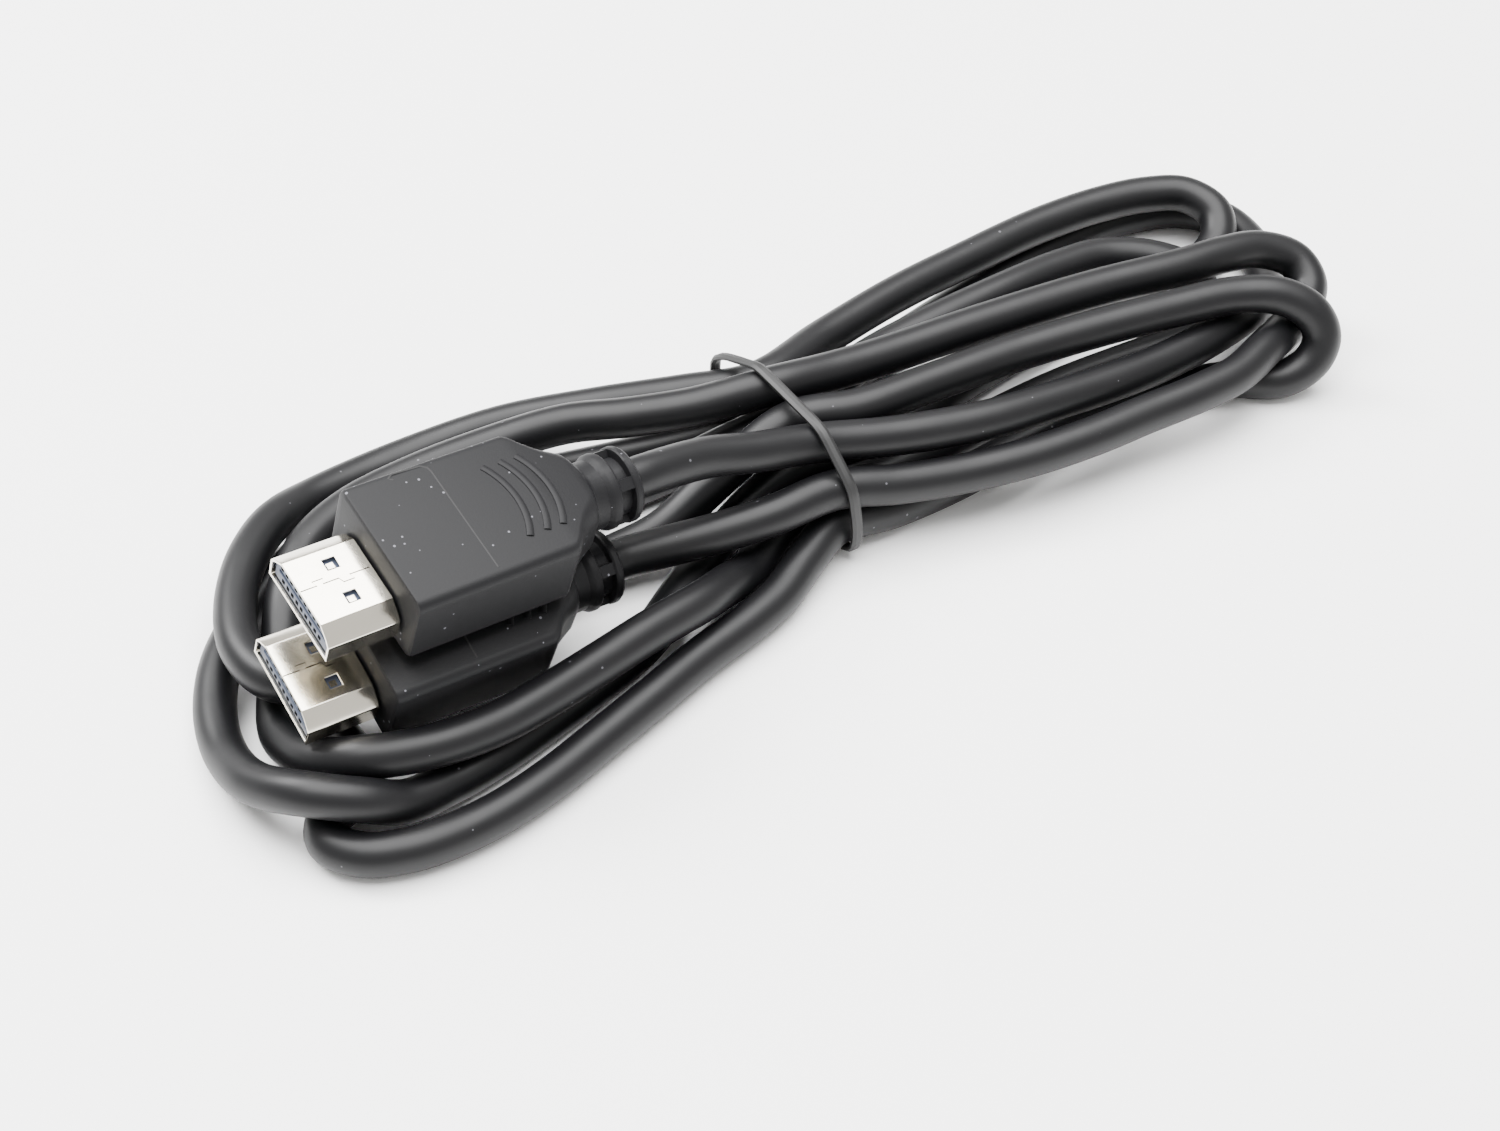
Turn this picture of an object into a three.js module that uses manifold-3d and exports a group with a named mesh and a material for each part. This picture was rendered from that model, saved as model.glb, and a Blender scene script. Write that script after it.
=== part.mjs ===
import * as THREE from 'three';
import { mergeVertices } from 'three/addons/utils/BufferGeometryUtils.js';
import Module from 'manifold-3d';

const wasm = await Module();
wasm.setup();

// All sizes are in mm. X runs along the hank with the plugs at -X, Y to its back, Z up from the table.
const CLEARANCE = 0.3;

// Cable
const CABLE_DIAMETER = 5.4;
const CABLE_SIDES = 8;
const STEPS_PER_POINT = 2;

// Overmould of a plug: a straight grip, a taper, a neck and a slotted strain relief
const GRIP_WIDTH = 19.2;
const GRIP_THICKNESS = 10.4;
const GRIP_LENGTH = 21.6;
const GRIP_CORNER = 1.3;
const FRONT_CHAMFER = 0.5;
const TAPER_LENGTH = 6.4;
const SHOULDER_WIDTH = 10.6;
const SHOULDER_THICKNESS = 9.4;
const NECK_DIAMETER = 8.8;
const NECK_LENGTH = 2.6;
const RELIEF_DIAMETER = 9.8;
const RELIEF_FLANGE = 1.2;
const RELIEF_GROOVE = 2;
const GROOVE_DIAMETER = 7.4;
const EDGE = 0.3;
const TAPER_STEPS = [[0.25, 0.36, 0.1, 1.5], [0.5, 0.68, 0.3, 2], [0.8, 0.9, 0.7, 2.6], [0.95, 1, 1, 3.2]];
const PLUG_LENGTH = GRIP_LENGTH + TAPER_LENGTH + NECK_LENGTH + 2 * RELIEF_FLANGE + RELIEF_GROOVE;
const STRAIGHT_EXIT = 3;

// Metal shell of a plug, narrow side up
const SHELL_WIDTH = 13.9;
const SHELL_HEIGHT = 4.45;
const SHELL_TOP_WIDTH = 9.4;
const SHELL_REACH = 9.6;
const SHELL_WALL = 0.35;
const SHELL_DROP = 0.85;
const SHELL_LEDGE = [1.6, 1.05];
const SHELL_SIDE = 2.65;
const WINDOW_LENGTH = 1.6;
const WINDOW_WIDTH = 1.6;
const WINDOW_SPACING = 5.1;
const WINDOW_FROM_FRONT = 5.2;

// Contact insert inside the shell
const INSERT_RECESS = 0.4;
const INSERT_LENGTH = SHELL_REACH - INSERT_RECESS - 4 * CLEARANCE;
const SLOT_HEIGHT = 0.5;
const SLOT_WIDTH = 11;
const SLOT_DEPTH = 5;

// Plug poses: the middle of the grip's front face, and turns in degrees
const UPPER_PLUG = { at: [-51.6, -5.3, 26.2], yaw: 9.2, pitch: 7.6, roll: 13.5 };
const LOWER_PLUG = { at: [-55.4, -5.6, 14.2], yaw: 7.5, pitch: 6.8, roll: 17.5 };

// Rubber band: tied round the middle of the hank, and slanted
const BAND_X = 11;
const BAND_SLANT = 0.15;
const BAND_WIDTH = 1.5;
const BAND_THICKNESS = 0.9;
const BAND_STEPS = 72;

// The band under the hank lifts the strands a little where it passes, and sags a little between them.
const BAND_SAG = 0.5;
const BAND_LIFT = BAND_THICKNESS + CLEARANCE + BAND_SAG;
const LIFT_SPREAD = 8;

// The strands that the band presses on, as [y, z] of their middles before the lift
const BAND_CORNERS = [[-3, 2.8], [-2.1, 8.4], [3, 12.6], [14.8, 13.4], [22, 10], [21.2, 2.8]];

// Middle line of the cable, from the upper plug to the lower one
const ROUTE = [
  // from the upper plug, over the bundle and out to the right end
  [-5, 2.8, 18.5], [2, 2.9, 16], [11, 3.0, 12.6], [20, 1.2, 12.6], [28, -0.3, 12.5],
  [36, -1.2, 12.0], [44, -1.0, 11.2], [53, -0.4, 10.2], [62, 0.6, 9.3], [71, 2.3, 8.6], [80, 5.2, 7.6],
  [84.5, 7.6, 6.4], [89.5, 11, 4.8], [93.5, 16.5, 3.4], [96.5, 24, 2.8], [96, 31, 2.8], [91, 36, 2.8], [82, 38, 2.8],
  // back along the table to the left end, and round the outermost fold
  [70, 37, 2.8], [55, 33, 2.8], [40, 28.5, 2.8], [25, 23.5, 2.8], [11, 20.2, 2.8], [3, 21.5, 2.8], [-6, 23, 2.8],
  [-18, 24.8, 2.8], [-32, 27.2, 2.8], [-45, 27.4, 2.8], [-55, 24.2, 2.8], [-62.5, 18.4, 2.8], [-68.5, 11, 2.9],
  [-71.5, 4, 2.8], [-72.5, -3.5, 3.4], [-71.2, -12, 6.3], [-66.6, -18.4, 8.7], [-61, -21, 7.4], [-56, -21, 4.4],
  [-50, -19.5, 3.0], [-43.5, -18, 2.8], [-36, -15.6, 2.8], [-28, -12.8, 2.8], [-20, -9.4, 2.8], [-12, -3.6, 2.8],
  [-4, 2.4, 2.8], [4, 6.8, 2.8], [11, 8.8, 2.8],
  // under the others to the right end, up and over
  [20, 10, 2.8], [30, 12.5, 2.8], [42, 16, 2.8], [55, 19, 2.8], [68, 21.5, 2.8], [78, 22.8, 2.8], [85, 22.5, 3.2],
  [90.6, 24.6, 5.0], [92.4, 28.5, 6.9], [90, 32.9, 8.1], [84.6, 35.2, 8.4], [77, 36.3, 8.4], [66, 36, 8.4],
  [52, 33.6, 8.6], [39, 30.8, 9], [25, 26.5, 9.4], [11, 20.6, 9.6],
  // the second fold on the left, then under the plugs
  [2, 24, 9.6], [-9, 28.5, 8.6], [-21, 33.5, 6.2], [-35, 35.5, 4], [-48, 32.7, 5.0], [-55, 28.2, 7.4],
  [-60.5, 22, 8.5], [-64.5, 14.5, 8.8], [-66.2, 7, 8.9], [-64.8, 0.8, 9.0], [-61, -2.4, 9.0], [-57.5, -2.8, 7.5],
  [-53.5, -1.6, 5.6], [-46, 0.5, 4.2], [-36, 3.4, 2.9], [-25, 5.6, 3.0], [-17, 6.0, 3.8], [-10, 5.8, 5.4],
  [-3, 7.2, 8.2], [4, 8.6, 10.3], [11, 9.3, 11.6],
  // the strand on top, and the tight fold at the right end
  [20, 7.4, 12.9], [32, 7.6, 13.3], [44, 7.8, 13.3], [57, 7.0, 13.4], [69, 5.6, 13.6], [77.5, 4.2, 13.7],
  [83.5, 1.6, 13.4], [87.2, -1.4, 11.4], [88.2, -3.6, 8.2], [86.4, -4.6, 5.2], [82, -4.0, 3.0], [75.5, -0.6, 2.8],
  [63, 1.8, 2.8], [51, 1.8, 2.8], [38, 0, 2.8], [29, -1.4, 2.8], [20, -2.4, 2.8], [11, -3.0, 2.8],
  // the front strand and its fold, back under everything
  [5, -6.2, 2.8], [-0.5, -9.7, 2.8], [-5.5, -11.8, 2.8], [-14.5, -14.8, 2.8], [-22.5, -18, 2.8],
  [-31, -21.3, 2.8], [-39, -24.3, 2.8], [-46.5, -26.3, 2.8], [-53, -27, 2.8], [-58.4, -26.6, 2.8], [-63.2, -24.8, 2.8],
  [-65.9, -21.3, 2.8], [-64.6, -17.8, 2.8], [-61.2, -16, 2.8], [-58.8, -13.2, 2.8],
  [-59, -8, 2.8], [-60, -3.5, 2.8], [-57.8, 2.8, 2.8],
  [-52, 7.2, 2.8], [-45, 10.2, 2.8], [-36, 12.5, 2.8], [-26, 15, 2.8], [-14, 16.8, 2.8], [-4, 17, 3.6],
  [4, 15.6, 5.8], [11, 14.3, 7.4],
  // the short fold at the right end
  [20, 17.6, 8.2], [28, 19.6, 9.6], [36, 20.8, 10.3], [51, 22.5, 10.8], [62, 24.3, 10], [70, 24.6, 9.2],
  [77, 21.6, 8.3], [81, 17.6, 6.8], [80.6, 13.2, 4.2], [77.5, 10.6, 2.8], [72, 9.4, 2.8], [64, 9.3, 2.8],
  [53, 8.9, 2.8], [40, 7.2, 2.8], [30, 5.6, 2.8], [20, 4, 2.8], [11, 3.0, 2.8],
  // the strand in front of the plugs, round the inner fold and back over the top
  [4, 0.2, 2.8], [-2, -4, 3.1], [-7, -7.2, 5.6], [-12, -10, 7.4], [-20, -12.4, 8.3], [-28, -14.6, 8.4],
  [-35.5, -16.6, 8.5], [-42.5, -18, 8.5], [-49, -18.3, 8.7], [-54.5, -17.6, 8.9], [-59.5, -15.9, 8.8],
  [-63.6, -12.2, 6.8], [-65.2, -7, 4.4], [-65.4, -2.5, 3.1], [-63.4, 3.5, 3.5], [-60.5, 9.5, 5.8], [-57.8, 14.8, 7.6],
  [-53, 20.8, 8.4], [-46, 24.8, 8.6], [-37, 26, 9.4], [-27, 25.3, 10.8], [-16, 23, 12.6], [-8, 20, 13],
  [0, 17.5, 13.2], [5, 16.2, 13.2], [11, 14.8, 13.4], [20, 14.9, 13.6], [28, 15, 13.6], [44, 15, 13.6],
  [61, 14.4, 13.6], [75, 13.0, 13.5],
  // round the right end and home to the lower plug
  [82, 13, 13.2], [88.5, 12.6, 12.2], [93, 10, 10.4], [93.2, 6.4, 8.4], [89.6, 3.2, 6.9], [84.8, 0.8, 6.9], [80, -2, 8.3],
  [73, -5, 8.3], [66, -6, 8.3], [57, -6.4, 8.3], [48, -6.9, 8.3], [38, -6.6, 8.3], [28, -5.2, 8.3],
  [20, -3.8, 8.4], [11, -2.1, 8.4], [2, -2.4, 9.3], [-6, -1.8, 9.5],
];

const JACKET = new THREE.MeshStandardMaterial({ name: 'cable_jacket', color: 0x2b2c30, roughness: 0.4, metalness: 0 });
const MOULD = new THREE.MeshStandardMaterial({ name: 'plug_mould', color: 0x4c4d51, roughness: 0.6, metalness: 0 });
const NICKEL = new THREE.MeshStandardMaterial({ name: 'nickel_shell', color: 0xc9c2b2, roughness: 0.25, metalness: 1 });
const INSERT = new THREE.MeshStandardMaterial({ name: 'contact_insert', color: 0x6d7687, roughness: 0.5, metalness: 0 });
const RUBBER = new THREE.MeshStandardMaterial({ name: 'rubber', color: 0x1a1a1c, roughness: 0.7, metalness: 0 });

// A solid with its equal points joined
function weld(geometry) {
  geometry.deleteAttribute('normal');
  geometry.deleteAttribute('uv');
  return mergeVertices(geometry, 1e-5);
}

function toManifold(geometry) {
  const vertProperties = new Float32Array(geometry.attributes.position.array);
  const triVerts = new Uint32Array(geometry.index.array);
  return new wasm.Manifold(new wasm.Mesh({ numProp: 3, vertProperties, triVerts }));
}

function fromManifold(solid) {
  const mesh = solid.getMesh();
  const geometry = new THREE.BufferGeometry();
  geometry.setAttribute('position', new THREE.BufferAttribute(new Float32Array(mesh.vertProperties), 3));
  geometry.setIndex(new THREE.BufferAttribute(new Uint32Array(mesh.triVerts), 1));
  return geometry;
}

// Rounded rectangle across X, as points with the same count for every size
function roundedSection(x, width, height, corner) {
  const points = [];
  const centres = [[1, 1], [-1, 1], [-1, -1], [1, -1]];
  centres.forEach(([sideY, sideZ], quarter) => {
    for (let step = 0; step <= 4; step += 1) {
      const angle = (quarter + step / 4) * Math.PI / 2;
      const y = sideY * (width / 2 - corner) + corner * Math.cos(angle);
      const z = sideZ * (height / 2 - corner) + corner * Math.sin(angle);
      points.push([x, y, z]);
    }
  });
  return points;
}

// Skin over sections: closed by caps at its ends, or joined to its start
function loft(sections, joined = false) {
  const count = sections[0].length;
  const positions = sections.flat(2);
  const index = [];
  const spans = joined ? sections.length : sections.length - 1;
  for (let i = 0; i < spans; i += 1) {
    const here = i * count;
    const next = ((i + 1) % sections.length) * count;
    for (let j = 0; j < count; j += 1) {
      const k = (j + 1) % count;
      index.push(here + j, here + k, next + k, here + j, next + k, next + j);
    }
  }
  if (!joined) {
    const last = (sections.length - 1) * count;
    for (let j = 1; j < count - 1; j += 1) {
      index.push(0, j + 1, j);
      index.push(last, last + j, last + j + 1);
    }
  }
  const geometry = new THREE.BufferGeometry();
  geometry.setAttribute('position', new THREE.Float32BufferAttribute(positions, 3));
  geometry.setIndex(index);
  return geometry;
}

// Turns a plug's own axes (nose to cable, to the back, up) and sets it in its place
function plugPlace({ at, yaw, pitch, roll }) {
  const turn = new THREE.Euler(
    THREE.MathUtils.degToRad(roll),
    THREE.MathUtils.degToRad(pitch),
    THREE.MathUtils.degToRad(yaw),
    'ZYX',
  );
  const matrix = new THREE.Matrix4().makeRotationFromEuler(turn);
  return matrix.setPosition(new THREE.Vector3(...at));
}

// Points are close together where the cable bends, so steps go by point and not by length.
class RouteCurve extends THREE.CatmullRomCurve3 {
  getUtoTmapping(u) {
    return u;
  }
}

function makeCable() {
  const points = ROUTE.map(([x, y, z]) => {
    const away = (x - BAND_X) / LIFT_SPREAD;
    return new THREE.Vector3(x, y, z + BAND_LIFT * Math.exp(-away * away));
  });
  const leaves = [PLUG_LENGTH + CLEARANCE, PLUG_LENGTH + CLEARANCE + STRAIGHT_EXIT];
  const onAxis = (pose, x) => new THREE.Vector3(x, 0, 0).applyMatrix4(plugPlace(pose));
  points.unshift(...leaves.map((x) => onAxis(UPPER_PLUG, x)));
  points.push(...leaves.map((x) => onAxis(LOWER_PLUG, x)).reverse());
  const curve = new RouteCurve(points, false, 'centripetal');
  const section = new THREE.Shape();
  for (let i = 0; i < CABLE_SIDES; i += 1) {
    const angle = (i + 0.5) / CABLE_SIDES * Math.PI * 2;
    const x = CABLE_DIAMETER / 2 * Math.cos(angle);
    const y = CABLE_DIAMETER / 2 * Math.sin(angle);
    if (i === 0) section.moveTo(x, y);
    else section.lineTo(x, y);
  }
  section.closePath();
  const steps = (points.length - 1) * STEPS_PER_POINT;
  return weld(new THREE.ExtrudeGeometry(section, { steps, extrudePath: curve, bevelEnabled: false }));
}

function makeGrip() {
  const shoulder = GRIP_LENGTH + TAPER_LENGTH;
  const neckEnd = shoulder + NECK_LENGTH;
  const groove = neckEnd + RELIEF_FLANGE;
  const end = groove + RELIEF_GROOVE + RELIEF_FLANGE;
  const front = [GRIP_WIDTH - 2 * FRONT_CHAMFER, GRIP_THICKNESS - 2 * FRONT_CHAMFER];
  const rows = [
    [0, ...front, GRIP_CORNER],
    [FRONT_CHAMFER, GRIP_WIDTH, GRIP_THICKNESS, GRIP_CORNER],
    [GRIP_LENGTH, GRIP_WIDTH, GRIP_THICKNESS, GRIP_CORNER],
  ];
  // Each step of the taper is how far along it is, and how much of the narrowing is done there.
  for (const [along, slim, thin, corner] of TAPER_STEPS) {
    const width = GRIP_WIDTH + (SHOULDER_WIDTH - GRIP_WIDTH) * slim;
    const thickness = GRIP_THICKNESS + (SHOULDER_THICKNESS - GRIP_THICKNESS) * thin;
    rows.push([GRIP_LENGTH + along * TAPER_LENGTH, width, thickness, corner]);
  }
  const rounds = [
    [shoulder, NECK_DIAMETER], [neckEnd - EDGE, NECK_DIAMETER],
    [neckEnd, RELIEF_DIAMETER], [groove - EDGE / 10, RELIEF_DIAMETER],
    [groove, GROOVE_DIAMETER], [groove + RELIEF_GROOVE, GROOVE_DIAMETER],
    [groove + RELIEF_GROOVE + EDGE / 10, RELIEF_DIAMETER], [end - EDGE, RELIEF_DIAMETER],
    [end, RELIEF_DIAMETER - 2 * EDGE],
  ];
  for (const [x, diameter] of rounds) rows.push([x, diameter, diameter, diameter / 2]);
  return loft(rows.map((row) => roundedSection(...row)));
}

// Outline of the shell, or of what is inside it, moved in from the outer face by `inset`
function shellOutline(inset) {
  const bottom = -SHELL_DROP - SHELL_HEIGHT / 2;
  const top = bottom + SHELL_HEIGHT;
  const half = SHELL_WIDTH / 2;
  const narrow = SHELL_TOP_WIDTH / 2;
  const ledgeY = narrow + SHELL_LEDGE[0];
  const ledgeZ = top - SHELL_LEDGE[1];
  const side = bottom + SHELL_SIDE;
  const outer = [[-half, bottom], [half, bottom], [half, side], [ledgeY, ledgeZ], [narrow, top],
    [-narrow, top], [-ledgeY, ledgeZ], [-half, side]].map(([y, z]) => new THREE.Vector2(y, z));
  return outer.map((point, i) => {
    const before = outer[(i + outer.length - 1) % outer.length];
    const after = outer[(i + 1) % outer.length];
    const arrive = point.clone().sub(before).normalize();
    const leave = after.clone().sub(point).normalize();
    const inward = new THREE.Vector2(-arrive.y - leave.y, arrive.x + leave.x);
    const move = inward.multiplyScalar(inset / (1 + arrive.dot(leave)));
    return [point.x + move.x, point.y + move.y];
  });
}

function prism(outline, from, to) {
  return loft([outline.map(([y, z]) => [from, y, z]), outline.map(([y, z]) => [to, y, z])]);
}

function block(x, y, z, length, width, height) {
  const geometry = new THREE.BoxGeometry(length, width, height);
  geometry.translate(x, y, z);
  return toManifold(weld(geometry));
}

function makeShell() {
  const front = -SHELL_REACH;
  const outer = toManifold(prism(shellOutline(0), front, -CLEARANCE));
  const inner = toManifold(prism(shellOutline(SHELL_WALL), front - 1, 1));
  const top = -SHELL_DROP + SHELL_HEIGHT / 2;
  let shell = outer.subtract(inner);
  for (const side of [-1, 1]) {
    const window = block(front + WINDOW_FROM_FRONT, side * WINDOW_SPACING / 2, top, WINDOW_LENGTH, WINDOW_WIDTH, 1);
    shell = shell.subtract(window);
  }
  return fromManifold(shell);
}

function makeInsert() {
  const front = -SHELL_REACH + INSERT_RECESS;
  const body = toManifold(prism(shellOutline(SHELL_WALL + CLEARANCE), front, front + INSERT_LENGTH));
  const slot = block(front + SLOT_DEPTH / 2 - 0.5, 0, -SHELL_DROP, SLOT_DEPTH + 1, SLOT_WIDTH, SLOT_HEIGHT);
  return fromManifold(body.subtract(slot));
}

// The band keeps its clearance round the outer strands and turns at each of them.
function makeBand() {
  const away = CABLE_DIAMETER / 2 + CLEARANCE + BAND_THICKNESS / 2;
  const count = BAND_CORNERS.length;
  const points = [];
  BAND_CORNERS.forEach(([y, z], i) => {
    const before = BAND_CORNERS[(i + count - 1) % count];
    const after = BAND_CORNERS[(i + 1) % count];
    const start = Math.atan2(y - before[0], before[1] - z);
    let sweep = Math.atan2(after[0] - y, z - after[1]) - start;
    if (sweep > 0) sweep -= Math.PI * 2;
    for (const part of [0, 0.5, 1]) {
      const angle = start + sweep * part;
      const py = y + away * Math.cos(angle);
      const pz = z + BAND_LIFT + away * Math.sin(angle);
      points.push(new THREE.Vector3(BAND_X + BAND_SLANT * (BAND_CORNERS[2][0] - py), py, pz));
    }
  });
  const curve = new THREE.CatmullRomCurve3(points, true, 'centripetal');
  const sections = [];
  for (let i = 0; i < BAND_STEPS; i += 1) {
    const middle = curve.getPointAt(i / BAND_STEPS);
    const along = curve.getTangentAt(i / BAND_STEPS);
    const outward = new THREE.Vector3().crossVectors(along, new THREE.Vector3(1, 0, 0)).normalize();
    const across = new THREE.Vector3().crossVectors(outward, along);
    const section = [];
    for (let j = 0; j < 8; j += 1) {
      const angle = (j + 0.5) / 8 * Math.PI * 2;
      const grow = 1 / Math.cos(Math.PI / 8);
      const sideways = across.clone().multiplyScalar(BAND_WIDTH / 2 * grow * Math.cos(angle));
      const outwards = outward.clone().multiplyScalar(BAND_THICKNESS / 2 * grow * Math.sin(angle));
      section.push(middle.clone().add(sideways).add(outwards).toArray());
    }
    sections.push(section);
  }
  return loft(sections, true);
}

const group = new THREE.Group();
group.name = 'plug_cable_hank';

function addPart(name, geometry, material) {
  const solid = toManifold(geometry);
  if (solid.volume() < 0) geometry.index.array.reverse();
  const mesh = new THREE.Mesh(geometry, material);
  mesh.name = name;
  group.add(mesh);
}

addPart('cable', makeCable(), JACKET);
for (const [side, pose] of [['upper', UPPER_PLUG], ['lower', LOWER_PLUG]]) {
  const place = plugPlace(pose);
  addPart(`${side}_plug_grip`, makeGrip().applyMatrix4(place), MOULD);
  addPart(`${side}_plug_shell`, makeShell().applyMatrix4(place), NICKEL);
  addPart(`${side}_plug_insert`, makeInsert().applyMatrix4(place), INSERT);
}
addPart('rubber_band', makeBand(), RUBBER);

// The box of the whole hank stands centred on the origin, with its bottom at zero.
const box = new THREE.Box3().setFromObject(group);
const middle = box.getCenter(new THREE.Vector3());
for (const mesh of group.children) {
  mesh.geometry.translate(-middle.x, -middle.y, -box.min.z);
  mesh.geometry = mesh.geometry.toNonIndexed();
  mesh.geometry.computeVertexNormals();
}

export default group;
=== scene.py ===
import math

import bmesh
import bpy
from mathutils import Matrix, Vector


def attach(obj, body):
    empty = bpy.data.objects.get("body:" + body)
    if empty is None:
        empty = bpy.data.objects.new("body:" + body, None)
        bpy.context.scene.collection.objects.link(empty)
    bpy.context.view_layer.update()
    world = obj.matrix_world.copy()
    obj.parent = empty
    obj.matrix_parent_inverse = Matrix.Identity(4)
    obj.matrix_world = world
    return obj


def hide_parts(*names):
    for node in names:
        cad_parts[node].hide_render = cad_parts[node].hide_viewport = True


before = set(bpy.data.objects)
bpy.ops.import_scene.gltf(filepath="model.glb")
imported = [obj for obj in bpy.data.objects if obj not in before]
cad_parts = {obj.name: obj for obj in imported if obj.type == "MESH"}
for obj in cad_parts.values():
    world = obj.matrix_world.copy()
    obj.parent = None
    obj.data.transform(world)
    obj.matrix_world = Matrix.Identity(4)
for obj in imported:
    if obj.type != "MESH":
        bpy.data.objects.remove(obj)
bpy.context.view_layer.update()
MM = 0.001


# Camera: it looks down at the hank at 45 degrees, from the left of its middle.
# The lens and the place were fitted to the photograph from the plugs' known size.
HANK_MIDDLE = Vector((12.12, 5.48, 0))
CAMERA_PLACE = Vector((-101.7, -199.6, 223.5))
camera_data = bpy.data.cameras.new("camera")
camera_data.lens = 57.6
camera_data.sensor_width = 36
camera_data.clip_start = 0.01
camera = bpy.data.objects.new("camera", camera_data)
camera.location = (CAMERA_PLACE - HANK_MIDDLE) * MM
camera.rotation_euler = (math.radians(45), 0, math.radians(-27))
bpy.context.scene.collection.objects.link(camera)
bpy.context.scene.camera = camera


# Plug places: each plug leans on the strands with its nose a little up.
# They come before the cable because it starts in one plug and ends in the other.
PLUGS = {
    "upper": dict(at=(-51.6, -5.3, 26.2), yaw=9.2, pitch=7.6, roll=13.5),
    "lower": dict(at=(-55.4, -5.6, 14.2), yaw=7.5, pitch=6.8, roll=17.5),
}
GRIP_LENGTH = 21.6
TAPER_LENGTH = 6.4
NECK_LENGTH = 2.6
RELIEF_FLANGE = 1.2
RELIEF_GROOVE = 2
PLUG_LENGTH = GRIP_LENGTH + TAPER_LENGTH + NECK_LENGTH + 2 * RELIEF_FLANGE + RELIEF_GROOVE


def plug_matrix(name):
    """From a plug's own axes (nose to cable, to the back, up) in mm to the frame in metres."""
    pose = PLUGS[name]
    turn = Matrix.Rotation(math.radians(pose["yaw"]), 4, "Z")
    turn @= Matrix.Rotation(math.radians(pose["pitch"]), 4, "Y")
    turn @= Matrix.Rotation(math.radians(pose["roll"]), 4, "X")
    place = Matrix.Translation(Vector(pose["at"]) - HANK_MIDDLE)
    return Matrix.Scale(MM, 4) @ place @ turn


def colour(hex_code):
    """Linear RGBA from an sRGB hex code."""
    channels = [int(hex_code[i:i + 2], 16) / 255 for i in (1, 3, 5)]
    linear = [c / 12.92 if c <= 0.04045 else ((c + 0.055) / 1.055) ** 2.4 for c in channels]
    return (*linear, 1)


def add_node(material, kind, inputs=None, **settings):
    """Adds a node with its settings. An input is given a value, or another node's output."""
    tree = material.node_tree
    node = tree.nodes.new(kind)
    for name, value in settings.items():
        setattr(node, name, value)
    for name, value in (inputs or {}).items():
        if isinstance(value, bpy.types.NodeSocket):
            tree.links.new(value, node.inputs[name])
        else:
            node.inputs[name].default_value = value
    return node


def new_material(name):
    """An empty material, to be filled with nodes."""
    material = bpy.data.materials.new(name)
    material.use_nodes = True
    material.node_tree.nodes.clear()
    return material


def finish_material(material, inputs):
    """The surface of every material here is one Principled shader with these inputs."""
    shader = add_node(material, "ShaderNodeBsdfPrincipled", inputs)
    add_node(material, "ShaderNodeOutputMaterial", {"Surface": shader.outputs[0]})


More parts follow.
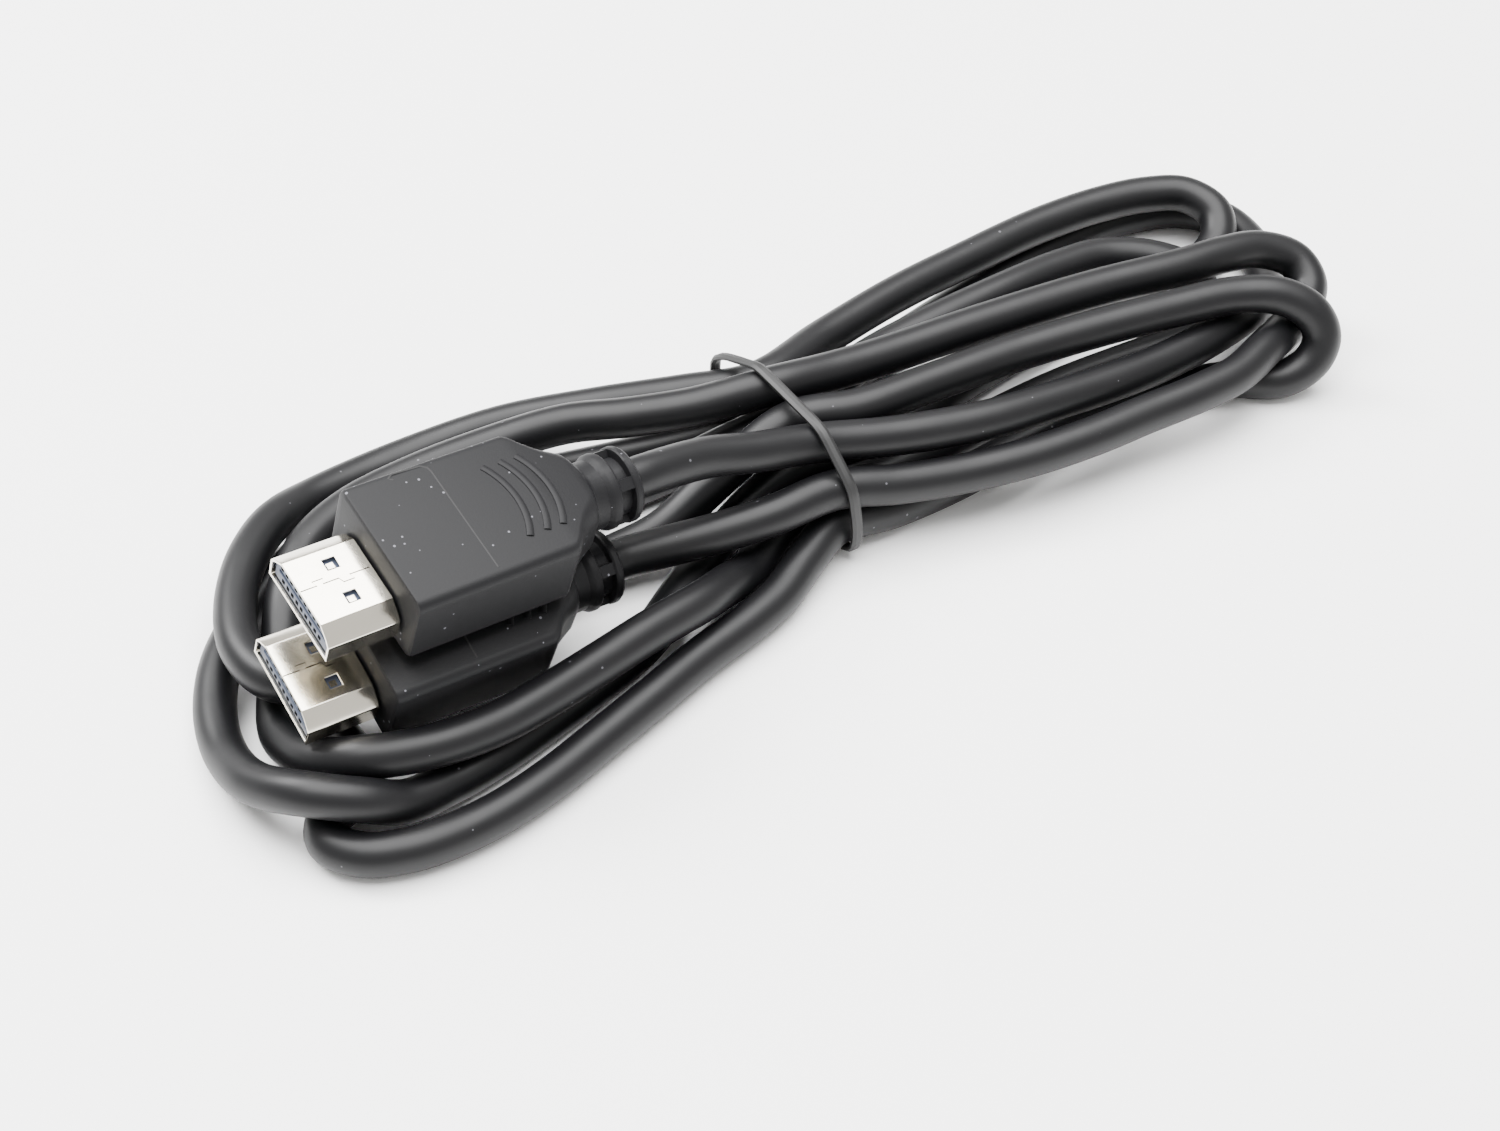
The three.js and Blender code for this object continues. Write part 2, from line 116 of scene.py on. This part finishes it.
# Cable: one round lead 5.4 mm thick, folded into a hank, both ends in the plugs.
# Its jacket is extruded soft PVC, satin and almost black, with grey dust on it.
CABLE_DIAMETER = 5.4
CLEARANCE = 0.3
STRAIGHT_EXIT = 3
BAND_X = 11
BAND_THICKNESS = 0.9
BAND_SAG = 0.5
BAND_LIFT = BAND_THICKNESS + CLEARANCE + BAND_SAG
LIFT_SPREAD = 8
ROUTE = [
    # from the upper plug, over the bundle and out to the right end
    (-5, 2.8, 18.5), (2, 2.9, 16), (11, 3.0, 12.6), (20, 1.2, 12.6), (28, -0.3, 12.5),
    (36, -1.2, 12.0), (44, -1.0, 11.2), (53, -0.4, 10.2), (62, 0.6, 9.3), (71, 2.3, 8.6), (80, 5.2, 7.6),
    (84.5, 7.6, 6.4), (89.5, 11, 4.8), (93.5, 16.5, 3.4), (96.5, 24, 2.8),
    (96, 31, 2.8), (91, 36, 2.8), (82, 38, 2.8),
    # back along the table to the left end, and round the outermost fold
    (70, 37, 2.8), (55, 33, 2.8), (40, 28.5, 2.8), (25, 23.5, 2.8),
    (11, 20.2, 2.8), (3, 21.5, 2.8), (-6, 23, 2.8),
    (-18, 24.8, 2.8), (-32, 27.2, 2.8), (-45, 27.4, 2.8),
    (-55, 24.2, 2.8), (-62.5, 18.4, 2.8), (-68.5, 11, 2.9),
    (-71.5, 4, 2.8), (-72.5, -3.5, 3.4), (-71.2, -12, 6.3),
    (-66.6, -18.4, 8.7), (-61, -21, 7.4), (-56, -21, 4.4),
    (-50, -19.5, 3.0), (-43.5, -18, 2.8), (-36, -15.6, 2.8),
    (-28, -12.8, 2.8), (-20, -9.4, 2.8), (-12, -3.6, 2.8),
    (-4, 2.4, 2.8), (4, 6.8, 2.8), (11, 8.8, 2.8),
    # under the others to the right end, up and over
    (20, 10, 2.8), (30, 12.5, 2.8), (42, 16, 2.8), (55, 19, 2.8),
    (68, 21.5, 2.8), (78, 22.8, 2.8), (85, 22.5, 3.2),
    (90.6, 24.6, 5.0), (92.4, 28.5, 6.9), (90, 32.9, 8.1),
    (84.6, 35.2, 8.4), (77, 36.3, 8.4), (66, 36, 8.4),
    (52, 33.6, 8.6), (39, 30.8, 9), (25, 26.5, 9.4), (11, 20.6, 9.6),
    # the second fold on the left, then under the plugs
    (2, 24, 9.6), (-9, 28.5, 8.6), (-21, 33.5, 6.2), (-35, 35.5, 4), (-48, 32.7, 5.0), (-55, 28.2, 7.4),
    (-60.5, 22, 8.5), (-64.5, 14.5, 8.8), (-66.2, 7, 8.9),
    (-64.8, 0.8, 9.0), (-61, -2.4, 9.0), (-57.5, -2.8, 7.5),
    (-53.5, -1.6, 5.6), (-46, 0.5, 4.2), (-36, 3.4, 2.9), (-25, 5.6, 3.0), (-17, 6.0, 3.8), (-10, 5.8, 5.4),
    (-3, 7.2, 8.2), (4, 8.6, 10.3), (11, 9.3, 11.6),
    # the strand on top, and the tight fold at the right end
    (20, 7.4, 12.9), (32, 7.6, 13.3), (44, 7.8, 13.3), (57, 7.0, 13.4), (69, 5.6, 13.6), (77.5, 4.2, 13.7),
    (83.5, 1.6, 13.4), (87.2, -1.4, 11.4), (88.2, -3.6, 8.2),
    (86.4, -4.6, 5.2), (82, -4.0, 3.0), (75.5, -0.6, 2.8),
    (63, 1.8, 2.8), (51, 1.8, 2.8), (38, 0, 2.8), (29, -1.4, 2.8), (20, -2.4, 2.8), (11, -3.0, 2.8),
    # the front strand and its fold, back under everything
    (5, -6.2, 2.8), (-0.5, -9.7, 2.8), (-5.5, -11.8, 2.8), (-14.5, -14.8, 2.8), (-22.5, -18, 2.8),
    (-31, -21.3, 2.8), (-39, -24.3, 2.8), (-46.5, -26.3, 2.8),
    (-53, -27, 2.8), (-58.4, -26.6, 2.8), (-63.2, -24.8, 2.8),
    (-65.9, -21.3, 2.8), (-64.6, -17.8, 2.8), (-61.2, -16, 2.8), (-58.8, -13.2, 2.8),
    (-59, -8, 2.8), (-60, -3.5, 2.8), (-57.8, 2.8, 2.8),
    (-52, 7.2, 2.8), (-45, 10.2, 2.8), (-36, 12.5, 2.8), (-26, 15, 2.8), (-14, 16.8, 2.8), (-4, 17, 3.6),
    (4, 15.6, 5.8), (11, 14.3, 7.4),
    # the short fold at the right end
    (20, 17.6, 8.2), (28, 19.6, 9.6), (36, 20.8, 10.3), (51, 22.5, 10.8), (62, 24.3, 10), (70, 24.6, 9.2),
    (77, 21.6, 8.3), (81, 17.6, 6.8), (80.6, 13.2, 4.2), (77.5, 10.6, 2.8), (72, 9.4, 2.8), (64, 9.3, 2.8),
    (53, 8.9, 2.8), (40, 7.2, 2.8), (30, 5.6, 2.8), (20, 4, 2.8), (11, 3.0, 2.8),
    # the strand in front of the plugs, round the inner fold and back over the top
    (4, 0.2, 2.8), (-2, -4, 3.1), (-7, -7.2, 5.6), (-12, -10, 7.4), (-20, -12.4, 8.3), (-28, -14.6, 8.4),
    (-35.5, -16.6, 8.5), (-42.5, -18, 8.5), (-49, -18.3, 8.7), (-54.5, -17.6, 8.9), (-59.5, -15.9, 8.8),
    (-63.6, -12.2, 6.8), (-65.2, -7, 4.4), (-65.4, -2.5, 3.1),
    (-63.4, 3.5, 3.5), (-60.5, 9.5, 5.8), (-57.8, 14.8, 7.6),
    (-53, 20.8, 8.4), (-46, 24.8, 8.6), (-37, 26, 9.4), (-27, 25.3, 10.8), (-16, 23, 12.6), (-8, 20, 13),
    (0, 17.5, 13.2), (5, 16.2, 13.2), (11, 14.8, 13.4), (20, 14.9, 13.6), (28, 15, 13.6), (44, 15, 13.6),
    (61, 14.4, 13.6), (75, 13.0, 13.5),
    # round the right end and home to the lower plug
    (82, 13, 13.2), (88.5, 12.6, 12.2), (93, 10, 10.4), (93.2, 6.4, 8.4),
    (89.6, 3.2, 6.9), (84.8, 0.8, 6.9), (80, -2, 8.3),
    (73, -5, 8.3), (66, -6, 8.3), (57, -6.4, 8.3), (48, -6.9, 8.3), (38, -6.6, 8.3), (28, -5.2, 8.3),
    (20, -3.8, 8.4), (11, -2.1, 8.4), (2, -2.4, 9.3), (-6, -1.8, 9.5),
]


def cable_points():
    """The cable's middle line in metres, from the upper plug to the lower one."""
    points = []
    for x, y, z in ROUTE:
        lift = BAND_LIFT * math.exp(-(((x - BAND_X) / LIFT_SPREAD) ** 2))
        points.append((Vector((x, y, z + lift)) - HANK_MIDDLE) * MM)
    leaves = [PLUG_LENGTH + CLEARANCE, PLUG_LENGTH + CLEARANCE + STRAIGHT_EXIT]
    start = [plug_matrix("upper") @ Vector((x, 0, 0)) for x in leaves]
    end = [plug_matrix("lower") @ Vector((x, 0, 0)) for x in reversed(leaves)]
    return start + points + end


def smooth_curve(name, points, radius):
    """A round bar along a curve through the points, which is the CAD cable's own curve."""
    data = bpy.data.curves.new(name, "CURVE")
    data.dimensions = "3D"
    data.bevel_depth = radius
    data.bevel_resolution = 10
    data.resolution_u = 8
    data.use_fill_caps = True
    spline = data.splines.new("BEZIER")
    spline.bezier_points.add(len(points) - 1)
    row = [2 * points[0] - points[1], *points, 2 * points[-1] - points[-2]]
    steps = [(b - a).length ** 0.5 for a, b in zip(row, row[1:])]
    for i, point in enumerate(spline.bezier_points):
        before, here, after = row[i:i + 3]
        arrive, leave = steps[i], steps[i + 1]
        slope = (here - before) / arrive - (after - before) / (arrive + leave) + (after - here) / leave
        point.co = here
        point.handle_left_type = "FREE"
        point.handle_right_type = "FREE"
        point.handle_left = here - slope * arrive / 3
        point.handle_right = here + slope * leave / 3
    piece = bpy.data.objects.new(name, data)
    bpy.context.scene.collection.objects.link(piece)
    return piece


def dusty(material, base, dust, cell_mm, speck, share):
    """Base colour with specks of dust: one in a share of the cells, its radius as part of the cell."""
    place = add_node(material, "ShaderNodeTexCoord").outputs["Object"]
    cells = add_node(material, "ShaderNodeTexVoronoi", {"Vector": place, "Scale": 1 / (cell_mm * MM)})
    chosen = add_node(material, "ShaderNodeSeparateColor", {0: cells.outputs["Color"]})
    picked = add_node(material, "ShaderNodeMath", {
        0: chosen.outputs[0],
        1: share,
    }, operation="LESS_THAN")
    size = add_node(material, "ShaderNodeMath", {0: chosen.outputs[1], 1: speck}, operation="MULTIPLY")
    near = add_node(material, "ShaderNodeMath", {
        0: cells.outputs["Distance"],
        1: size.outputs[0],
    }, operation="LESS_THAN")
    shown = add_node(material, "ShaderNodeMath", {
        0: picked.outputs[0],
        1: near.outputs[0],
    }, operation="MULTIPLY")
    mixed = add_node(material, "ShaderNodeMix", {
        0: shown.outputs[0],
        6: colour(base),
        7: colour(dust),
    }, data_type="RGBA")
    return mixed.outputs[2]


# Extruded PVC: almost black, with a soft sheen along each strand that wanders a little.
RIPPLE_SIZE = 9
jacket = new_material("extruded_pvc_jacket")
jacket_place = add_node(jacket, "ShaderNodeTexCoord").outputs["Object"]
jacket_ripple = add_node(jacket, "ShaderNodeTexNoise", {
    "Vector": jacket_place,
    "Scale": 1 / (RIPPLE_SIZE * MM),
    "Detail": 3.0,
})
jacket_gloss = add_node(jacket, "ShaderNodeMapRange", {
    "Value": jacket_ripple.outputs["Fac"],
    "To Min": 0.36,
    "To Max": 0.52,
})
jacket_bump = add_node(jacket, "ShaderNodeBump", {
    "Height": jacket_ripple.outputs["Fac"],
    "Strength": 0.25,
    "Distance": 0.3 * MM,
})
finish_material(jacket, {
    "Base Color": dusty(jacket, "#0a0a0c", "#4c4c50", 1.7, 0.12, 0.14),
    "Roughness": jacket_gloss.outputs[0],
    "IOR": 1.52,
    "Specular IOR Level": 0.26,
    "Normal": jacket_bump.outputs[0],
})

cable = smooth_curve("cable_jacket", cable_points(), CABLE_DIAMETER / 2 * MM)
cable.data.materials.append(jacket)
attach(cable, "root")
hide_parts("cable")
tuple(plug_matrix("upper") @ Vector((PLUG_LENGTH, 0, 0)))


# Grips: the plugs' overmoulds, injection moulded PVC over the plug and the cable's end.
# They are grey-black and matt, with crisp top edges, a taper and a slotted strain relief.
GRIP_WIDTH = 19.2
GRIP_THICKNESS = 10.4
GRIP_CORNER = 1.3
FRONT_CHAMFER = 0.5
SHOULDER_WIDTH = 10.6
SHOULDER_THICKNESS = 9.4
NECK_DIAMETER = 8.8
RELIEF_DIAMETER = 9.8
GROOVE_DIAMETER = 7.4
TAPER_STEPS = [
    (0, 0, 0, 1.3), (0.1, 0.1, 0.02, 1.35), (0.25, 0.36, 0.1, 1.5), (0.38, 0.54, 0.2, 1.7),
    (0.5, 0.68, 0.3, 2), (0.65, 0.8, 0.5, 2.3), (0.8, 0.9, 0.7, 2.6), (0.9, 0.96, 0.86, 2.9),
    (0.97, 1.06, 1.1, 3.5),
]
TAPER_START = 0.6
CORNER_STEPS = 8
SHARP_ANGLE = 32

# Moulded PVC: matt and grey-black, with a fine grain that breaks up the light, and grey dust.
GRAIN_SIZE = 0.25
mould = new_material("moulded_matt_pvc")
mould_place = add_node(mould, "ShaderNodeTexCoord").outputs["Object"]
mould_grain = add_node(mould, "ShaderNodeTexNoise", {
    "Vector": mould_place,
    "Scale": 1 / (GRAIN_SIZE * MM),
    "Detail": 2.0,
})
mould_bump = add_node(mould, "ShaderNodeBump", {
    "Height": mould_grain.outputs["Fac"],
    "Strength": 0.3,
    "Distance": 0.05 * MM,
})
finish_material(mould, {
    "Base Color": dusty(mould, "#0e0e10", "#66666c", 1.2, 0.15, 0.35),
    "Roughness": 0.55,
    "IOR": 1.5,
    "Specular IOR Level": 0.2,
    "Normal": mould_bump.outputs[0],
})


def rounded_section(x, width, height, corner):
    """Points of a rounded rectangle across X, always the same number of them."""
    points = []
    for quarter, (side_y, side_z) in enumerate(((1, 1), (-1, 1), (-1, -1), (1, -1))):
        for step in range(CORNER_STEPS + 1):
            angle = (quarter + step / CORNER_STEPS) * math.pi / 2
            y = side_y * (width / 2 - corner) + corner * math.cos(angle)
            z = side_z * (height / 2 - corner) + corner * math.sin(angle)
            points.append(Vector((x, y, z)))
    return points


def grip_rows():
    """Sections of a grip from its front face to the cable: place, width, height and corner."""
    shoulder = GRIP_LENGTH + TAPER_LENGTH
    neck_end = shoulder + NECK_LENGTH
    groove = neck_end + RELIEF_FLANGE
    groove_end = groove + RELIEF_GROOVE
    rows = []
    # The front edge is rounded: each step is its place and how much smaller it is, in chamfers.
    for along, smaller in ((0, 2), (0.3, 0.5), (1, 0)):
        cut = FRONT_CHAMFER * smaller
        rows.append((FRONT_CHAMFER * along, GRIP_WIDTH - cut, GRIP_THICKNESS - cut, GRIP_CORNER))
    rows.append((GRIP_LENGTH - TAPER_START, GRIP_WIDTH, GRIP_THICKNESS, GRIP_CORNER))
    # Each step is how far along the taper it is, how much of the narrowing is done, and its corner.
    for along, slim, thin, corner in TAPER_STEPS:
        width = GRIP_WIDTH + (SHOULDER_WIDTH - GRIP_WIDTH) * slim
        height = GRIP_THICKNESS + (SHOULDER_THICKNESS - GRIP_THICKNESS) * thin
        rows.append((GRIP_LENGTH + TAPER_LENGTH * along, width, height, corner))
    rounds = (
        (shoulder, NECK_DIAMETER + 0.5), (shoulder + 0.3, NECK_DIAMETER + 0.1),
        (shoulder + 0.6, NECK_DIAMETER), (neck_end - 0.5, NECK_DIAMETER),
        (neck_end, RELIEF_DIAMETER - 0.3), (neck_end + 0.3, RELIEF_DIAMETER),
        (groove - 0.2, RELIEF_DIAMETER), (groove, RELIEF_DIAMETER - 0.3),
        (groove + 0.05, GROOVE_DIAMETER), (groove_end - 0.05, GROOVE_DIAMETER),
        (groove_end, RELIEF_DIAMETER - 0.3), (groove_end + 0.2, RELIEF_DIAMETER),
        (PLUG_LENGTH - 0.4, RELIEF_DIAMETER), (PLUG_LENGTH - 0.1, RELIEF_DIAMETER - 0.4),
        (PLUG_LENGTH, RELIEF_DIAMETER - 0.8),
    )
    for x, diameter in rounds:
        rows.append((x, diameter, diameter, diameter / 2))
    return rows


def finish_mesh(name, mesh, matrix, material):
    """Puts a bmesh in its place as an object at the origin, with smooth faces and sharp edges kept."""
    bmesh.ops.transform(mesh, matrix=matrix, verts=mesh.verts)
    bmesh.ops.recalc_face_normals(mesh, faces=mesh.faces)
    data = bpy.data.meshes.new(name)
    mesh.to_mesh(data)
    mesh.free()
    data.materials.append(material)
    for face in data.polygons:
        face.use_smooth = True
    data.set_sharp_from_angle(angle=math.radians(SHARP_ANGLE))
    piece = bpy.data.objects.new(name, data)
    bpy.context.scene.collection.objects.link(piece)
    return piece


def skin_sections(sections):
    """A closed bmesh over sections with equal numbers of points: each one is extruded from the last."""
    mesh = bmesh.new()
    ring = bmesh.ops.create_circle(mesh, segments=len(sections[0]), radius=1, cap_ends=True)["verts"]
    for vert, place in zip(ring, sections[0]):
        vert.co = place
    edges = list(mesh.edges)
    for section in sections[1:]:
        grown = bmesh.ops.extrude_edge_only(mesh, edges=edges)["geom"]
        edges = [part for part in grown if isinstance(part, bmesh.types.BMEdge)]
        fresh = [part for part in grown if isinstance(part, bmesh.types.BMVert)]
        for vert, place in zip(fresh, section):
            vert.co = place
    bmesh.ops.holes_fill(mesh, edges=edges)
    return mesh


grips = {}
for plug in PLUGS:
    grip_mesh = skin_sections([rounded_section(*row) for row in grip_rows()])
    grips[plug] = finish_mesh(f"{plug}_grip", grip_mesh, plug_matrix(plug), mould)
    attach(grips[plug], "root")
    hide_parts(f"{plug}_plug_grip")


# Relief ribs: short bridges across the strain relief's groove, which make it a ring of slots.
# They are moulded in one with the grip, four to a plug.
RIB_ANGLES = (35, 125, 215, 305)
RIB_WIDTH = 1.5
RIB_OVERLAP = 0.6
RIB_DROP = 0.5
for plug in PLUGS:
    ribs = bmesh.new()
    middle_x = PLUG_LENGTH - RELIEF_FLANGE - RELIEF_GROOVE / 2
    reach = (RELIEF_DIAMETER - RIB_DROP) / 2
    size = Matrix.Diagonal((RELIEF_GROOVE + RIB_OVERLAP, RIB_WIDTH, reach, 1))
    shape = Matrix.Translation((middle_x, 0, reach / 2)) @ size
    for angle in RIB_ANGLES:
        turn = Matrix.Rotation(math.radians(angle), 4, "X")
        bmesh.ops.create_cube(ribs, size=1, matrix=turn @ shape)
    relief_ribs = finish_mesh(f"{plug}_relief_ribs", ribs, plug_matrix(plug), mould)
    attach(relief_ribs, "root")


# Moulding on the grips' top faces: three raised arcs behind a fine panel line.
# They belong to the overmould. The arcs stand 0.2 mm proud, and the line is a faint dark trace.
ARC_RADIUS = 11
ARC_TOPS = (18.5, 20.9, 23.1)
ARC_HALF_ANGLE = 30.5
ARC_WIDTH = 0.95
ARC_HEIGHT = 0.2
ARC_STEPS = 24
BAR_SIDES = 12
PANEL_LINE = [(6.3, 8.0), (5.8, 8.4), (6.5, 8.85), (10.2, 8.65), (10.9, 8.1), (11.1, 7.4), (11.2, -8.0)]
PANEL_LINE_WIDTH = 0.26
PANEL_LINE_HEIGHT = 0.03

# The same PVC in the shade of the fine line: a little darker than the face round it.
groove_pvc = new_material("shaded_groove_in_pvc")
finish_material(groove_pvc, {"Base Color": colour("#0a0a0b"), "Roughness": 0.7, "IOR": 1.5})


def flat_bar(name, plug, points, width, height, level, material):
    """A low rounded bar that follows points in a plug's own X and Y, on the face at that level."""
    sections = []
    for i, here in enumerate(points):
        before = points[max(i - 1, 0)]
        after = points[min(i + 1, len(points) - 1)]
        along = (Vector(after) - Vector(before)).normalized()
        across = Vector((-along.y, along.x))
        section = []
        for step in range(BAR_SIDES):
            angle = 2 * math.pi * step / BAR_SIDES
            side = across * (width / 2 * math.cos(angle))
            rise = level + height * math.sin(angle)
            section.append(Vector((here[0] + side.x, here[1] + side.y, rise)))
        sections.append(section)
    return finish_mesh(name, skin_sections(sections), plug_matrix(plug), material)


for plug in PLUGS:
    top = GRIP_THICKNESS / 2
    for number, arc_top in enumerate(ARC_TOPS, 1):
        sweep = [math.radians(ARC_HALF_ANGLE * (2 * i / ARC_STEPS - 1)) for i in range(ARC_STEPS + 1)]
        middle = arc_top - ARC_RADIUS
        arc = [(middle + ARC_RADIUS * math.cos(a), ARC_RADIUS * math.sin(a)) for a in sweep]
        bar = flat_bar(f"{plug}_arc_{number}", plug, arc, ARC_WIDTH, ARC_HEIGHT, top, mould)
        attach(bar, "root")
    line_name = f"{plug}_panel_line"
    line = flat_bar(line_name, plug, PANEL_LINE, PANEL_LINE_WIDTH, PANEL_LINE_HEIGHT, top, groove_pvc)
    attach(line, "root")


# Shells: each plug's mouth is drawn and folded from thin nickel-plated steel, narrow side up.
# The CAD shells have the true outline and latch windows, and get rounded edges here.
# Nickel plate: bright and a little warm, nearly a mirror, with a slight haze and unevenness.
HAZE_SIZE = 3
nickel = new_material("bright_nickel_plate")
nickel_place = add_node(nickel, "ShaderNodeTexCoord").outputs["Object"]
nickel_haze = add_node(nickel, "ShaderNodeTexNoise", {
    "Vector": nickel_place,
    "Scale": 1 / (HAZE_SIZE * MM),
    "Detail": 4.0,
})
nickel_gloss = add_node(nickel, "ShaderNodeMapRange", {
    "Value": nickel_haze.outputs["Fac"],
    "To Min": 0.12,
    "To Max": 0.24,
})
nickel_bump = add_node(nickel, "ShaderNodeBump", {
    "Height": nickel_haze.outputs["Fac"],
    "Strength": 0.2,
    "Distance": 0.2 * MM,
})
finish_material(nickel, {
    "Base Color": colour("#e6e0d2"),
    "Metallic": 1.0,
    "Roughness": nickel_gloss.outputs[0],
    "Normal": nickel_bump.outputs[0],
})


def merged_copy(name, node, material, edge_mm):
    """A copy of a CAD node with its loose triangles merged, flat faces joined and edges rounded."""
    mesh = bmesh.new()
    mesh.from_mesh(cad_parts[node].data)
    bmesh.ops.remove_doubles(mesh, verts=mesh.verts, dist=0.002 * MM)
    bmesh.ops.dissolve_limit(mesh, angle_limit=math.radians(2), verts=mesh.verts, edges=mesh.edges)
    piece = finish_mesh(name, mesh, Matrix.Identity(4), material)
    bevel = piece.modifiers.new("rounded_edges", "BEVEL")
    bevel.width = edge_mm * MM
    bevel.segments = 3
    bevel.limit_method = "ANGLE"
    bevel.angle_limit = math.radians(25)
    return piece


SHELL_EDGE = 0.12
for plug in PLUGS:
    shell = merged_copy(f"{plug}_shell", f"{plug}_plug_shell", nickel, SHELL_EDGE)
    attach(shell, "root")
    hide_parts(f"{plug}_plug_shell")


# Latch springs: bent nickel-plated strips just under the shells' two windows.
# They show as bright metal at the bottom of each window.
SPRING_LENGTH = 0.9
SPRING_WIDTH = 0.8
SPRING_THICKNESS = 0.06
SPRING_TILT = 2
SPRING_LEVEL = 0.84
WINDOW_SPACING = 5.1
WINDOW_MIDDLE = -4.4
for plug in PLUGS:
    strips = bmesh.new()
    for side in (-1, 1):
        place = Matrix.Translation((WINDOW_MIDDLE, side * WINDOW_SPACING / 2, SPRING_LEVEL))
        tilt = Matrix.Rotation(math.radians(SPRING_TILT), 4, "Y")
        size = Matrix.Diagonal((SPRING_LENGTH, SPRING_WIDTH, SPRING_THICKNESS, 1))
        bmesh.ops.create_cube(strips, size=1, matrix=place @ tilt @ size)
    springs = finish_mesh(f"{plug}_latch_springs", strips, plug_matrix(plug), nickel)
    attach(springs, "root")


# Shell seams: the folded steel closes along the middle of the narrow side with two dovetails.
# The joint shows as a fine dark line.
SHELL_TOP = 1.375
SEAM_WIDTH = 0.17
SEAM_HEIGHT = 0.02
SEAM_LINE = [(-9.5, 0.3), (-7.4, 0.3), (-7.7, 1.0), (-6.3, 1.0), (-6.6, 0.3), (-4.6, 0.3),
             (-4.3, -0.4), (-2.9, -0.4), (-3.2, 0.3), (-0.6, 0.3)]
# Steel in the shade of the joint: dark and dull, so that it shows as a thin line on the nickel.
seam_shade = new_material("shadow_in_a_seam")
finish_material(seam_shade, {"Base Color": colour("#2b2824"), "Metallic": 1.0, "Roughness": 0.5})
for plug in PLUGS:
    seam = flat_bar(f"{plug}_shell_seam", plug, SEAM_LINE, SEAM_WIDTH, SEAM_HEIGHT, SHELL_TOP, seam_shade)
    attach(seam, "root")


# Contact inserts: blue-grey moulded blocks inside the shells, with a slot for the socket's tongue.
# Two rows of small square holes for the contact pins open in the front face; here they are dark squares of
# painted shade.
CONTACT_PITCH = 1.08
CONTACT_ROWS = ((10, 0.85), (9, -0.95))
CONTACT_SIZE = 0.56
HOLE_DEPTH = 0.08
SHELL_REACH = 9.6
INSERT_RECESS = 0.4
INSERT_FRONT = -SHELL_REACH + INSERT_RECESS
INSERT_EDGE = 0.08
SHELL_DROP = 0.85

# Moulded nylon: a dull blue-grey that sets the dark holes off.
insert_plastic = new_material("moulded_blue_grey_nylon")
finish_material(insert_plastic, {
    "Base Color": colour("#3f4657"),
    "Roughness": 0.5,
    "IOR": 1.53,
    "Specular IOR Level": 0.3,
})
# The dark inside of a contact hole: no light comes back from it.
hole_shade = new_material("shade_in_a_hole")
finish_material(hole_shade, {
    "Base Color": colour("#040405"),
    "Roughness": 0.9,
    "IOR": 1.5,
    "Specular IOR Level": 0.05,
})
for plug in PLUGS:
    insert = merged_copy(f"{plug}_insert", f"{plug}_plug_insert", insert_plastic, INSERT_EDGE)
    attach(insert, "root")
    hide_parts(f"{plug}_plug_insert")
    # Each hole is a thin dark square across the insert's face: painted shade, not a cut hole.
    holes = bmesh.new()
    for count, level in CONTACT_ROWS:
        for i in range(count):
            middle = Vector((INSERT_FRONT, (i - (count - 1) / 2) * CONTACT_PITCH, level - SHELL_DROP))
            size = Matrix.Diagonal((HOLE_DEPTH, CONTACT_SIZE, CONTACT_SIZE, 1))
            bmesh.ops.create_cube(holes, size=1, matrix=Matrix.Translation(middle) @ size)
    hole_shade_squares = finish_mesh(f"{plug}_painted_hole_shade", holes, plug_matrix(plug), hole_shade)
    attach(hole_shade_squares, "root")


# Rubber band: a narrow black moulded loop that ties the hank round its middle.
# It lies a little slanted over the strands and stretches straight between the outer ones.
BAND_EDGE = 0.1
# Vulcanised rubber: black and dull, with hardly any sheen.
rubber = new_material("vulcanised_rubber")
finish_material(rubber, {"Base Color": colour("#09090a"), "Roughness": 0.55, "IOR": 1.52})
band = merged_copy("rubber_band_loop", "rubber_band", rubber, BAND_EDGE)
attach(band, "root")
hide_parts("rubber_band")


# Table: a plain white top that the hank lies on.
# It is far larger than the picture, so that no edge of it shows.
TABLE_HALF_SIDE = 3
# A white top: even and half matt, so the hank's shadow lies soft on it.
table_white = new_material("white_table_top")
finish_material(table_white, {"Base Color": colour("#fafafa"), "Roughness": 0.5, "IOR": 1.45})
table_mesh = bmesh.new()
bmesh.ops.create_grid(table_mesh, x_segments=1, y_segments=1, size=TABLE_HALF_SIDE)
table = finish_mesh("table", table_mesh, Matrix.Identity(4), table_white)


# Light: a broad soft source above the hank, a smaller one from the left and behind, and a pale
# room all round.
ROOM_STRENGTH = 1.1
world = bpy.data.worlds.new("room")
world.use_nodes = True
world.node_tree.nodes["Background"].inputs["Color"].default_value = colour("#fbfaf8")
world.node_tree.nodes["Background"].inputs["Strength"].default_value = ROOM_STRENGTH
bpy.context.scene.world = world


def soft_light(name, place, target, size, power):
    """A square area light, with its size in metres and its power in watts, aimed at the target."""
    data = bpy.data.lights.new(name, "AREA")
    data.size = size
    data.energy = power
    lamp = bpy.data.objects.new(name, data)
    lamp.location = place
    lamp.rotation_euler = (Vector(target) - Vector(place)).to_track_quat("-Z", "Y").to_euler()
    bpy.context.scene.collection.objects.link(lamp)


soft_light("overhead", (0.05, 0.1, 1.0), (0, 0, 0), 1.1, 50)
soft_light("window", (-0.35, 0.5, 0.6), (0, 0, 0), 0.35, 12)
